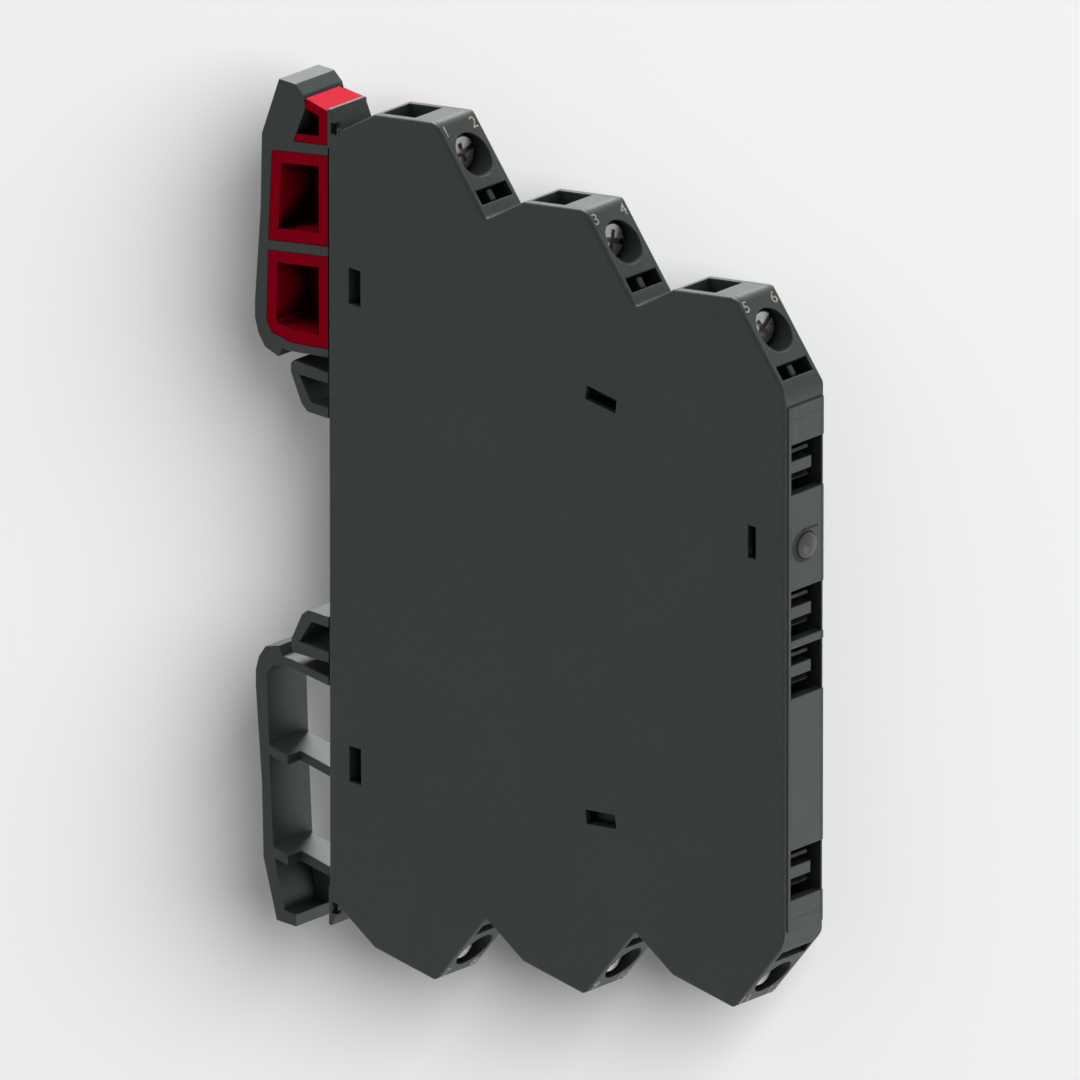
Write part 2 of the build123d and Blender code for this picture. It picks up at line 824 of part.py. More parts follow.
resistor_places = []
for row in range(5):
    resistor_places.append((46.0, 16.0 - 8.0 * row))
    resistor_places.append((20.0, 16.0 - 8.0 * row))
resistors = chips_on_board(resistor_places, 3.1, 1.6, 0.6, False)
resistors.label = "resistors"
export_step(resistors, "parts/resistors.step")

# Status lamp: a domed lens on a round body
lamp_tip = body_front + lamp_proud
lamp_back = lamp_tip - lamp_length
with BuildPart() as status_led:
    with BuildSketch(Plane.YZ.offset(lamp_back)):
        with Locations((0, lamp_height)):
            Circle(lamp_diameter / 2)
    extrude(amount=lamp_length - lamp_diameter / 2)
    with Locations((lamp_tip - lamp_diameter / 2, 0, lamp_height)):
        Sphere(lamp_diameter / 2)
status_led.part.label = "status_led"
export_step(status_led.part, "parts/status_led.step")

# The lamp's leads go down behind it and back along the faces of the board
front_latch_height, front_latch_length = latch_front[1:3]
lead_foot = front_latch_height - front_latch_length / 2 - lead_gap
with BuildPart() as led_leads:
    for lead_y in (board_far + lead_width, board_near):
        with BuildSketch(side_plane(lead_y)):
            with BuildLine():
                Polyline(
                    (lamp_back - lead_width / 2, lamp_height + 0.5),
                    (lamp_back - lead_width / 2, lead_foot),
                    (board_front - 1.2, lead_foot),
                )
            trace(line_width=lead_width)
        extrude(amount=lead_width)
led_leads.part.label = "led_leads"
export_step(led_leads.part, "parts/led_leads.step")

# Bridge contacts: sprung forks behind the receptacles, soldered over the board's edge
contact_width = 2.8
contact_strip = 0.35
for number, centre in enumerate(socket_centres, start=1):
    neck = socket_tongue / 2 + contact_strip / 2 + 0.1
    half = socket_height / 2 - 0.7
    with BuildPart() as bridge_contact:
        with BuildSketch(side_plane(contact_width / 2)):
            with BuildLine():
                Polyline(
                    (body_front - 0.9, centre + neck + 0.7),
                    (body_front - 2.0, centre + neck),
                    (body_front - 4.4, centre + half),
                    (board_front + contact_strip / 2, centre + half),
                    (board_front + contact_strip / 2, centre - half),
                    (body_front - 4.4, centre - half),
                    (body_front - 2.0, centre - neck),
                    (body_front - 0.9, centre - neck - 0.7),
                )
            trace(line_width=contact_strip)
        extrude(amount=contact_width)
        leg_thickness = (contact_width - board_thickness) / 2
        for leg_y in (contact_width / 2, board_near):
            with BuildSketch(side_plane(leg_y)):
                with Locations((board_front - 0.6, centre)):
                    Rectangle(1.2, 2.0)
            extrude(amount=leg_thickness)
    bridge_contact.part.label = f"bridge_contact_{number}"
    export_step(bridge_contact.part, f"parts/bridge_contact_{number}.step")
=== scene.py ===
# Slim rail module with stepped screw terminals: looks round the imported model
import json
from math import cos, radians, sin

import bmesh
import bpy
import numpy as np
from mathutils import Matrix, Vector


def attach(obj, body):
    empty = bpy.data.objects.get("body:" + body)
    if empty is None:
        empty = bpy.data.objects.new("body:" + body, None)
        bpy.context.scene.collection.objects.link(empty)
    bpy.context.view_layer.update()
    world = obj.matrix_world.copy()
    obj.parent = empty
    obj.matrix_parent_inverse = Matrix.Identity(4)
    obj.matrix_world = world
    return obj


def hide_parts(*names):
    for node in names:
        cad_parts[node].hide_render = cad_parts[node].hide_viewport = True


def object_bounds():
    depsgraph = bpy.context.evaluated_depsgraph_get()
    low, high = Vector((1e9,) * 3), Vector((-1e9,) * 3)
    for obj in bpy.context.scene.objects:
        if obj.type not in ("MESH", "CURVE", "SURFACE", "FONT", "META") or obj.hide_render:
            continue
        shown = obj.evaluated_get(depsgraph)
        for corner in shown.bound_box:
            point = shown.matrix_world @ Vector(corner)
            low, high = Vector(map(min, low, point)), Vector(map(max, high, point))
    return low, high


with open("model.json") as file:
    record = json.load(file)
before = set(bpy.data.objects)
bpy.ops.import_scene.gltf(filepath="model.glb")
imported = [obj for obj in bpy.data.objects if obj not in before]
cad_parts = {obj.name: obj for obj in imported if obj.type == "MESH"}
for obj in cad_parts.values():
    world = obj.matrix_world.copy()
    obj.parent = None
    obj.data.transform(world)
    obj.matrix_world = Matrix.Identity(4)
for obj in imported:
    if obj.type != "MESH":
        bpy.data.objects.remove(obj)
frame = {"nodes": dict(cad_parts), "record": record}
scene = bpy.context.scene
cadLow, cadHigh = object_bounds()
print("frame loaded", len(frame["nodes"]), "nodes")


# Camera: a long lens at the photograph's angle
cameraSet = {
    "azimuth": 43.3,              # degrees, 0 looks along +Y
    "elevation": 20.9,
    "aim": (0.0344, 0.0, 0.0041),
    "viewWidth": 0.1174,          # metres seen across the frame at the aim
    "lens": 1600.0,
    "sensor": 36.0,
    "clip": (0.05, 20.0),
}


def placeCamera(s):
    # Stands off along the view angle until the frame's width covers viewWidth
    a, e = radians(s["azimuth"]), radians(s["elevation"])
    back = Vector((sin(a) * cos(e), -cos(a) * cos(e), sin(e)))
    data = bpy.data.cameras.new("camera")
    data.lens, data.sensor_width = s["lens"], s["sensor"]
    data.clip_start, data.clip_end = s["clip"]
    camera = bpy.data.objects.new("camera", data)
    scene.collection.objects.link(camera)
    camera.location = Vector(s["aim"]) + back * (s["viewWidth"] * s["lens"] / s["sensor"])
    camera.rotation_mode = "QUATERNION"
    camera.rotation_quaternion = back.to_track_quat("Z", "Y")
    scene.camera = camera


placeCamera(cameraSet)
scene.view_settings.view_transform = "Standard"


# Node helpers
def newMaterial(name):
    material = bpy.data.materials.new(name)
    material.use_nodes = True
    tree = material.node_tree
    tree.nodes.clear()
    output = tree.nodes.new("ShaderNodeOutputMaterial")
    shader = tree.nodes.new("ShaderNodeBsdfPrincipled")
    tree.links.new(shader.outputs[0], output.inputs["Surface"])
    return material, tree, shader


def addNode(tree, kind, values=None, **settings):
    node = tree.nodes.new(kind)
    for key, value in settings.items():
        setattr(node, key, value)
    for key, value in (values or {}).items():
        node.inputs[key].default_value = value
    return node


def objectCoords(tree):
    return addNode(tree, "ShaderNodeTexCoord").outputs["Object"]


def noise(tree, vector, scale, detail, rough):
    node = addNode(tree, "ShaderNodeTexNoise", {"Scale": scale, "Detail": detail, "Roughness": rough})
    tree.links.new(vector, node.inputs["Vector"])
    return node.outputs["Fac"]


def ramp(tree, factor, low, high, a, b):
    # Maps the factor from low..high to a..b, held at both ends
    limits = {"From Min": low, "From Max": high, "To Min": a, "To Max": b}
    node = addNode(tree, "ShaderNodeMapRange", limits)
    tree.links.new(factor, node.inputs["Value"])
    return node.outputs["Result"]


def mixColours(tree, factor, first, second):
    # The mix node's factor is its socket 0, its colours are 6 and 7, and its colour result is 2
    node = addNode(tree, "ShaderNodeMix", data_type="RGBA")
    for value, socket in ((factor, 0), (first, 6), (second, 7)):
        if isinstance(value, bpy.types.NodeSocket):
            tree.links.new(value, node.inputs[socket])
        else:
            node.inputs[socket].default_value = (*value, 1.0)
    return node.outputs[2]


def bump(tree, height, distance, before=None):
    node = addNode(tree, "ShaderNodeBump", {"Strength": 1.0, "Distance": distance})
    tree.links.new(height, node.inputs["Height"])
    if before is not None:
        tree.links.new(before, node.inputs["Normal"])
    return node.outputs["Normal"]


# Moulded plastic: spark-eroded grain, faint flow clouds, paler edges that are partly wear and partly
# painted highlight, and painted shade in deep hollows
def mouldedPlastic(name, s):
    material, tree, shader = newMaterial(name)
    vector = objectCoords(tree)
    clouds = ramp(tree, noise(tree, vector, *s["clouds"]), *s["cloudRange"], 0.0, 1.0)
    specks = ramp(tree, noise(tree, vector, *s["specks"]), *s["speckRange"], 0.0, s["speckShare"])
    base = mixColours(tree, clouds, s["dark"], s["light"])
    base = mixColours(tree, specks, base, s["speckColour"])
    rounded = addNode(tree, "ShaderNodeBevel", {"Radius": s["edge"]}, samples=s["edgeSamples"])
    flat = addNode(tree, "ShaderNodeNewGeometry")
    along = addNode(tree, "ShaderNodeVectorMath", operation="DOT_PRODUCT")
    tree.links.new(rounded.outputs[0], along.inputs[0])
    tree.links.new(flat.outputs["True Normal"], along.inputs[1])
    # Paler edges: partly wear, partly a painted highlight where the rounding would catch the light
    edge = ramp(tree, along.outputs["Value"], *s["edgeRange"], s["edgeWearAndHighlight"], 0.0)
    base = mixColours(tree, edge, base, s["edgeWearAndHighlightColour"])
    # The light it passes on is mixed towards the same dark colour that the painted shade uses
    bounced = addNode(tree, "ShaderNodeLightPath")
    lost = ramp(tree, bounced.outputs["Is Diffuse Ray"], 0.0, 1.0, 0.0, s["bounceLoss"])
    base = mixColours(tree, lost, base, s["paintedShadeColour"])
    # Painted shade: the more closed in a place is, the darker its colour
    openness = addNode(tree, "ShaderNodeAmbientOcclusion", {"Distance": s["paintedShadeReach"]},
                       samples=s["paintedShadeSamples"])
    deep = ramp(tree, openness.outputs["AO"], *s["paintedShadeRange"], s["paintedShade"], 0.0)
    base = mixColours(tree, deep, base, s["paintedShadeColour"])
    tree.links.new(base, shader.inputs["Base Color"])
    tree.links.new(ramp(tree, clouds, 0.0, 1.0, *s["rough"]), shader.inputs["Roughness"])
    grain = noise(tree, vector, *s["grain"])
    textured = bump(tree, grain, s["grainDepth"], rounded.outputs[0])
    tree.links.new(textured, shader.inputs["Normal"])
    shader.inputs["Specular IOR Level"].default_value = s["specular"]
    shader.inputs["IOR"].default_value = s["ior"]
    return material


housingSet = {
    "dark": (0.036, 0.050, 0.045),
    "light": (0.041, 0.056, 0.051),
    "clouds": (90.0, 4.0, 0.55),  # each noise has a scale, a detail and a roughness
    "cloudRange": (0.35, 0.65),
    "specks": (1500.0, 2.0, 0.55),
    "speckRange": (0.40, 0.75),
    "speckShare": 0.25,
    "speckColour": (0.085, 0.075, 0.072),
    "grain": (9000.0, 3.0, 0.60),
    "grainDepth": 0.000015,
    "edge": 0.00020,              # radius of the rounded edges, whose paleness is partly wear and partly painted highlight
    "edgeSamples": 6,
    "edgeRange": (0.75, 0.99),    # cosine of the edge's turn, from full wear and painted highlight to none
    "edgeWearAndHighlight": 0.45,
    "edgeWearAndHighlightColour": (0.115, 0.130, 0.125),
    "paintedShade": 0.85,               # how far the deepest hollows go to the colour of their painted shade
    "paintedShadeReach": 0.003,
    "paintedShadeSamples": 8,
    "paintedShadeRange": (0.30, 0.75),  # openness, from the deepest hollows to open faces
    "paintedShadeColour": (0.010, 0.012, 0.011),
    "bounceLoss": 0.0,            # how much of its colour it keeps out of the light it passes on
    "rough": (0.49, 0.56),
    "specular": 0.30,
    "ior": 1.5,
}
redSet = dict(
    housingSet,
    dark=(0.56, 0.0006, 0.018),
    light=(0.62, 0.0008, 0.022),
    speckColour=(0.34, 0.001, 0.012),
    edgeWearAndHighlightColour=(0.75, 0.02, 0.05),
    # Stronger painted shade in the red cups and hollows, near black
    paintedShade=0.97,
    paintedShadeReach=0.004,
    paintedShadeRange=(0.60, 0.90),
    paintedShadeColour=(0.014, 0.002, 0.003),
    bounceLoss=0.85,
    rough=(0.47, 0.54),
    specular=0.08,
    ior=1.2,
)


# Plated metal: fine tool marks and a faint mottle in the plating
def platedMetal(name, s):
    material, tree, shader = newMaterial(name)
    vector = objectCoords(tree)
    mottle = ramp(tree, noise(tree, vector, *s["mottle"]), *s["range"], 0.0, 1.0)
    tree.links.new(mixColours(tree, mottle, s["dark"], s["light"]), shader.inputs["Base Color"])
    marks = noise(tree, vector, *s["marks"])
    tree.links.new(ramp(tree, marks, *s["range"], *s["rough"]), shader.inputs["Roughness"])
    tree.links.new(bump(tree, marks, s["markDepth"]), shader.inputs["Normal"])
    shader.inputs["Metallic"].default_value = 1.0
    return material


steelSet = {
    "dark": (0.30, 0.28, 0.28),
    "light": (0.46, 0.45, 0.45),
    "mottle": (900.0, 4.0, 0.55),
    "marks": (6000.0, 2.0, 0.55),
    "range": (0.3, 0.7),          # of both noises
    "markDepth": 0.000004,
    "rough": (0.24, 0.38),
}
# Contacts kept very dark: painted shade of the slots they sit in
contactSet = dict(
    steelSet,
    dark=(0.060, 0.054, 0.046),
    light=(0.100, 0.090, 0.076),
    rough=(0.36, 0.50),
)
tinSet = dict(
    steelSet,
    dark=(0.60, 0.60, 0.59),
    light=(0.72, 0.71, 0.69),
    mottle=(2500.0, 4.0, 0.55),
    rough=(0.30, 0.44),
)


# Circuit board: green mask over a glass weave, with paler copper traces under it
def boardMask(name, s):
    material, tree, shader = newMaterial(name)
    vector = objectCoords(tree)
    weave = addNode(tree, "ShaderNodeMath", operation="MULTIPLY")
    warped = {"Scale": s["weaveScale"], "Distortion": s["weaveWarp"]}
    for socket, direction in enumerate("XZ"):
        threads = addNode(tree, "ShaderNodeTexWave", warped, bands_direction=direction)
        tree.links.new(vector, threads.inputs["Vector"])
        tree.links.new(threads.outputs["Fac"], weave.inputs[socket])
    traces = addNode(tree, "ShaderNodeTexVoronoi", {"Scale": s["traceScale"]},
                     feature="DISTANCE_TO_EDGE")
    tree.links.new(vector, traces.inputs["Vector"])
    onTrace = ramp(tree, traces.outputs["Distance"], *s["traceRange"], 1.0, 0.0)
    tree.links.new(mixColours(tree, onTrace, s["mask"], s["trace"]), shader.inputs["Base Color"])
    tree.links.new(bump(tree, weave.outputs[0], s["weaveDepth"]), shader.inputs["Normal"])
    shader.inputs["Roughness"].default_value = s["rough"]
    return material


boardSet = {
    "mask": (0.012, 0.085, 0.035),
    "trace": (0.03, 0.16, 0.06),
    "traceScale": 220.0,
    "traceRange": (0.03, 0.06),   # from inside a trace to its edge
    "weaveScale": 900.0,
    "weaveWarp": 0.6,
    "weaveDepth": 0.000006,
    "rough": 0.32,
}


# Fired or moulded block: one fine grain gives it both its tone and its texture
def grainedBlock(name, s):
    material, tree, shader = newMaterial(name)
    grain = noise(tree, objectCoords(tree), *s["grain"])
    tone = ramp(tree, grain, *s["grainRange"], 0.0, 1.0)
    tree.links.new(mixColours(tree, tone, s["dark"], s["light"]), shader.inputs["Base Color"])
    tree.links.new(bump(tree, grain, s["grainDepth"]), shader.inputs["Normal"])
    shader.inputs["Roughness"].default_value = s["rough"]
    shader.inputs["Metallic"].default_value = s["metallic"]
    return material


chipSet = {
    "dark": (0.012, 0.012, 0.013),
    "light": (0.022, 0.022, 0.023),
    "grain": (7000.0, 5.0, 0.65),
    "grainRange": (0.35, 0.65),
    "grainDepth": 0.000008,
    "rough": 0.58,
    "metallic": 0.0,
}
ferriteSet = dict(
    chipSet,
    dark=(0.030, 0.030, 0.033),
    light=(0.065, 0.065, 0.070),
    grain=(4000.0, 5.0, 0.65),
    grainDepth=0.00001,
    rough=0.45,
    metallic=0.35,
)
capacitorSet = dict(
    chipSet,
    dark=(0.34, 0.22, 0.13),
    light=(0.46, 0.32, 0.20),
    grain=(3000.0, 5.0, 0.65),
    grainDepth=0.000006,
    rough=0.38,
)
resistorSet = dict(
    chipSet,
    dark=(0.014, 0.014, 0.018),
    light=(0.03, 0.03, 0.036),
    grain=(5000.0, 5.0, 0.65),
    grainDepth=0.000004,
    rough=0.3,
)


# Smoky lens: clear moulded resin with a faint haze
def smokyLens(name, s):
    material, tree, shader = newMaterial(name)
    haze = noise(tree, objectCoords(tree), *s["haze"])
    tone = ramp(tree, haze, *s["hazeRange"], 0.0, 1.0)
    tree.links.new(mixColours(tree, tone, s["dark"], s["light"]), shader.inputs["Base Color"])
    tree.links.new(ramp(tree, haze, *s["hazeRange"], *s["rough"]), shader.inputs["Roughness"])
    shader.inputs["Transmission Weight"].default_value = s["transmission"]
    shader.inputs["IOR"].default_value = s["ior"]
    return material


lensSet = {
    "dark": (0.085, 0.080, 0.076),
    "light": (0.120, 0.110, 0.104),
    "haze": (1500.0, 3.0, 0.55),
    "hazeRange": (0.3, 0.7),
    "rough": (0.10, 0.16),
    "transmission": 0.3,
    "ior": 1.5,
}

housingPlastic = mouldedPlastic("housingPlastic", housingSet)
redPlastic = mouldedPlastic("redPlastic", redSet)
platedSteel = platedMetal("platedSteel", steelSet)
contactAlloy = platedMetal("contactAlloy", contactSet)
tinnedCopper = platedMetal("tinnedCopper", tinSet)
boardGreen = boardMask("boardGreen", boardSet)
ferriteBlack = grainedBlock("ferriteBlack", ferriteSet)
chipBlack = grainedBlock("chipBlack", chipSet)
capacitorBrown = grainedBlock("capacitorBrown", capacitorSet)
resistorBlack = grainedBlock("resistorBlack", resistorSet)
lampLens = smokyLens("lampLens", lensSet)
print("materials made")

finishes = {
    "housing_plastic": housingPlastic,
    "red_plastic": redPlastic,
    "plated_steel": platedSteel,
    "contact_alloy": contactAlloy,
    "tinned_copper": tinnedCopper,
    "tinned_wire": tinnedCopper,
    "board_laminate": boardGreen,
    "ferrite": ferriteBlack,
    "chip_plastic": chipBlack,
    "capacitor_ceramic": capacitorBrown,
    "resistor_ceramic": resistorBlack,
    "lamp_lens": lampLens,
}
slotOf = {part["node"]: part["material_slot"] for part in frame["record"]["subparts"]}
for nodeName, node in frame["nodes"].items():
    node.data.materials.clear()
    node.data.materials.append(finishes[slotOf[nodeName]])
print("nodes dressed")


# The steps of the side outline, as the frame has them, in metres
stepSet = {
    "back": 0.0056,               # X of the body's back
    "startX": 0.0012,             # from there to the first step
    "startZ": 0.0451,             # where the first step starts, above the middle
    "pitchX": 0.0223,             # from step to step, forward
    "pitchZ": 0.0044,             # and towards the middle
    "rise": (0.0056, 0.0035),     # X and Z from a step's start to its top face
    "top": (0.0092, 0.0014),      # X and Z along the top face
    "tiers": 3,
}
pieces = []


def addPiece(name, points, faces, material):
    # Makes one smooth mesh object at the origin that rides on the housing
    mesh = bpy.data.meshes.new(name)
    mesh.from_pydata(points.tolist(), [], faces)
    mesh.polygons.foreach_set("use_smooth", np.ones(len(faces), bool))
    mesh.update()
    mesh.materials.append(material)
    piece = bpy.data.objects.new(name, mesh)
    scene.collection.objects.link(piece)
    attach(piece, "housing")
    pieces.append(piece)
    return piece


def gridFaces(rows, columns, closed):
    # Quads of a rows by columns grid of points, closed round its columns or left open
    across = columns if closed else columns - 1
    row, column = np.meshgrid(np.arange(rows - 1), np.arange(across), indexing="ij")
    here = row * columns + column
    beside = row * columns + (column + 1) % columns
    return np.stack([here, here + columns, beside + columns, beside], -1).reshape(-1, 4).tolist()


def cappedFaces(rows, columns):
    # A closed grid's quads turned round, and a fan at each end to the two points that follow the grid
    ring = np.arange(columns)
    onward = (ring + 1) % columns
    last = (rows - 1) * columns
    sides = [face[::-1] for face in gridFaces(rows, columns, True)]
    foot = np.stack([onward, ring, np.full(columns, rows * columns)], 1)
    head = np.stack([ring + last, onward + last, np.full(columns, rows * columns + 1)], 1)
    return sides + foot.tolist() + head.tolist()


def crest(s, tier):
    # The front end of a tier's top face, where its slope starts
    x = s["back"] + s["startX"] + tier * s["pitchX"] + s["rise"][0] + s["top"][0]
    return x, s["startZ"] - tier * s["pitchZ"] + s["rise"][1] + s["top"][1]


def slopeFrame(s, tier, side, along, across, lift):
    # A place on a tier's slope: along it from the crest, across the module, lifted out of it;
    # its axes run across the module, up the slope and out of it
    x, z = crest(s, tier)
    runX = s["pitchX"] - s["rise"][0] - s["top"][0]
    runZ = s["rise"][1] + s["top"][1] + s["pitchZ"]
    down = Vector((runX, 0.0, -side * runZ)).normalized()
    out = Vector((runZ, 0.0, side * runX)).normalized()
    right = Vector((0.0, 1.0, 0.0))
    origin = Vector((x, across, side * z)) + down * along + out * lift
    upward = out.cross(right)
    return Matrix((
        (right.x, upward.x, out.x, origin.x),
        (right.y, upward.y, out.y, origin.y),
        (right.z, upward.z, out.z, origin.z),
        (0.0, 0.0, 0.0, 1.0),
    ))


def placed(points, matrix):
    # The points turned and moved by the matrix
    turn = np.array(matrix)
    return points @ turn[:3, :3].T + turn[:3, 3]


# Rounded corners: the crests of the steps and the ends of the front, cut from copies of the nodes
roundSet = {
    "crest": 0.0015,              # radii
    "front": 0.0040,
    "depth": 0.0015,              # how far past the corner the cutter reaches
    "halfWidth": 0.004,           # past both side walls
    "overrun": 1.5,               # degrees past each tangent point
    "rows": 25,
    "weld": 1e-7,                 # points nearer than this become one
    "flat": 0.3,                  # faces within so many degrees become one
    "sharp": 12.0,                # edges past so many degrees keep their crease
    "flatWeight": 100,            # how much the large faces rule the shading
}
softNodes = ["main_shell", "side_cover", *(f"terminal_block_{k}" for k in range(1, 7))]


def softCorners(s, radii):
    # Each corner to round, with its neighbours on the side outline and its radius, above and below
    lastX, lastZ = crest(s, s["tiers"] - 1)
    frontX = s["back"] + s["startX"] + s["tiers"] * s["pitchX"]
    frontZ = s["startZ"] - s["tiers"] * s["pitchZ"]
    upper = []
    for tier in range(s["tiers"]):
        x, z = crest(s, tier)
        rear = (x - s["top"][0], z - s["top"][1])
        foot = (x + frontX - lastX, z + frontZ - lastZ)
        upper.append((rear, (x, z), foot, radii["crest"]))
    upper.append(((lastX, lastZ), (frontX, frontZ), (frontX, 0.0), radii["front"]))
    corners = []
    for side in (1, -1):
        for *outline, radius in upper:
            corners.append((*(np.array([x, side * z]) for x, z in outline), radius))
    return corners


def cornerCutter(s, before, corner, after, radius):
    # A ring sector outside the rounding circle, carried across the module
    # centre = corner + radius / sin(half) along the bisector; points = centre + r (cos a, sin a)
    toBefore = (before - corner) / np.linalg.norm(before - corner)
    toAfter = (after - corner) / np.linalg.norm(after - corner)
    half = np.arccos(toBefore @ toAfter) / 2
    bisector = (toBefore + toAfter) / np.linalg.norm(toBefore + toAfter)
    centre = corner + bisector * radius / np.sin(half)
    outward = np.arctan2(-bisector[1], -bisector[0])
    reach = np.pi / 2 - half + radians(s["overrun"])
    a = np.linspace(outward - reach, outward + reach, s["rows"])[:, None]
    outer = radius / np.sin(half) + s["depth"]
    r = np.array([radius, outer, outer, radius])[None, :]
    y = np.array([-1.0, -1.0, 1.0, 1.0])[None, :] * s["halfWidth"]
    grid = np.stack([centre[0] + r * np.cos(a), y + 0.0 * a, centre[1] + r * np.sin(a)], -1)
    last = 4 * (s["rows"] - 1)
    ends = [[0, 1, 2, 3], [last + 3, last + 2, last + 1, last]]
    return grid.reshape(-1, 3), np.array(gridFaces(s["rows"], 4, True) + ends)


def allCutters(s, corners):
    # All the ring sectors in one mesh
    points, faces, count = [], [], 0
    for corner in corners:
        grid, quads = cornerCutter(s, *corner)
        points.append(grid)
        faces += (quads + count).tolist()
        count += len(grid)
    mesh = bpy.data.meshes.new("cutters")
    mesh.from_pydata(np.concatenate(points).tolist(), [], faces)
    tidyMesh = bmesh.new()
    tidyMesh.from_mesh(mesh)
    bmesh.ops.recalc_face_normals(tidyMesh, faces=tidyMesh.faces)
    tidyMesh.to_mesh(mesh)
    tidyMesh.free()
    cutter = bpy.data.objects.new("cutters", mesh)
    scene.collection.objects.link(cutter)
    return cutter


def softCopy(s, nodeName, cutter):
    # The node's own mesh, closed at its seams and cut, stands for the node
    mesh = frame["nodes"][nodeName].data.copy()
    closed = bmesh.new()
    closed.from_mesh(mesh)
    bmesh.ops.remove_doubles(closed, verts=closed.verts, dist=s["weld"])
    flatAngle = radians(s["flat"])
    bmesh.ops.dissolve_limit(closed, angle_limit=flatAngle, verts=closed.verts, edges=closed.edges)
    closed.to_mesh(mesh)
    closed.free()
    piece = bpy.data.objects.new(nodeName + "_soft", mesh)
    scene.collection.objects.link(piece)
    cut = piece.modifiers.new("corners", "BOOLEAN")
    cut.operation = "DIFFERENCE"
    cut.solver = "EXACT"
    cut.object = cutter
    bpy.context.view_layer.update()
    graph = bpy.context.evaluated_depsgraph_get()
    result = bpy.data.meshes.new_from_object(piece.evaluated_get(graph))
    piece.modifiers.clear()
    piece.data = result
    result.shade_smooth()
    result.set_sharp_from_angle(angle=radians(s["sharp"]))
    flats = piece.modifiers.new("flats", "WEIGHTED_NORMAL")
    flats.mode = "FACE_AREA"
    flats.weight = s["flatWeight"]
    flats.keep_sharp = True
    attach(piece, "housing")
    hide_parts(nodeName)
    pieces.append(piece)


cutter = allCutters(roundSet, softCorners(stepSet, roundSet))
for nodeName in softNodes:
    softCopy(roundSet, nodeName, cutter)
bpy.data.objects.remove(cutter)
print("corners rounded")


# Test slots: a rib stands across the middle of each
ribSet = {
    "size": (0.00042, 0.00072, 0.0011),   # half its width, height and depth
    "power": 9.0,
    "along": 0.00944,             # down the slope from its crest
    "sunk": 0.0016,               # its middle lies so deep
    "rows": 25,
    "columns": 48,
}


def slotRib(s, steps, tier, side):
    # Superellipsoid: size * (c(u) c(v), c(u) s(v), s(u)), where c and s are cos and sin
    # with their size raised to 2 / power and their sign kept
    u = np.linspace(-np.pi / 2, np.pi / 2, s["rows"])[1:-1, None]
    v = np.linspace(0.0, 2 * np.pi, s["columns"], endpoint=False)[None, :]
    waves = (np.cos(u), np.sin(u), np.cos(v), np.sin(v))
    cosU, sinU, cosV, sinV = (np.sign(f) * np.abs(f) ** (2.0 / s["power"]) for f in waves)
    grid = np.stack([cosU * cosV, cosU * sinV, sinU + 0.0 * cosV], -1).reshape(-1, 3)
    points = np.concatenate([grid, [[0.0, 0.0, -1.0], [0.0, 0.0, 1.0]]]) * np.array(s["size"])
    place = slopeFrame(steps, tier, side, s["along"], 0.0, -s["sunk"])
    name = f"slotRib{tier + 1}" + ("Upper" if side > 0 else "Lower")
    faces = cappedFaces(len(u), s["columns"])
    addPiece(name, placed(points, place), faces, housingPlastic)


# Numerals: plain printed numbers beside each screw, two on every slope
numeralSet = {
    "size": 0.0019,
    "thick": 0.00002,
    "along": 0.0014,              # down the slope from its crest
    "places": (-0.0022, 0.00215),
}


def paleInk(name, s):
    material, tree, shader = newMaterial(name)
    worn = ramp(tree, noise(tree, objectCoords(tree), *s["wear"]), *s["wearRange"], 0.0, 1.0)
    tree.links.new(mixColours(tree, worn, s["worn"], s["ink"]), shader.inputs["Base Color"])
    shader.inputs["Roughness"].default_value = s["rough"]
    return material


inkSet = {
    "ink": (0.62, 0.54, 0.42),
    "worn": (0.30, 0.25, 0.23),
    "wear": (2600.0, 4.0, 0.55),
    "wearRange": (0.35, 0.60),
    "rough": 0.6,
}
printInk = paleInk("printInk", inkSet)


def numeral(s, steps, number, tier, side, across):
    # A text curve made a mesh first, then set on the slope
    curve = bpy.data.curves.new(f"numeral{number}Text", "FONT")
    curve.body = str(number)
    curve.size = s["size"]
    curve.extrude = s["thick"]
    curve.align_x = "CENTER"
    curve.align_y = "CENTER"
    source = bpy.data.objects.new(curve.name, curve)
    scene.collection.objects.link(source)
    bpy.context.view_layer.update()
    graph = bpy.context.evaluated_depsgraph_get()
    mesh = bpy.data.meshes.new_from_object(source.evaluated_get(graph))
    bpy.data.objects.remove(source)
    mesh.transform(slopeFrame(steps, tier, side, s["along"], across, 0.0))
    mesh.name = f"numeral{number}"
    mesh.materials.clear()
    mesh.materials.append(printInk)
    piece = bpy.data.objects.new(mesh.name, mesh)
    scene.collection.objects.link(piece)
    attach(piece, "housing")
    pieces.append(piece)


number = 0
for side in (1, -1):
    for tier in range(stepSet["tiers"]):
        slotRib(ribSet, stepSet, tier, side)
        for across in numeralSet["places"]:
            number += 1
            numeral(numeralSet, stepSet, number, tier, side, across)
print("slopes dressed")


# Status lamp: a smoky dome on a short barrel, with a flat back
lensShape = {
    "middle": (0.0, 0.0139),      # Y and Z of its axis
    "back": 0.0709,               # X of its back, of the barrel's end and of the dome's top
    "shoulder": 0.07402,
    "tip": 0.07458,
    "radius": 0.00149,
    "backRing": 0.6,              # share of the radius where the fan of the back ends
    "columns": 64,
    "rows": 24,
}


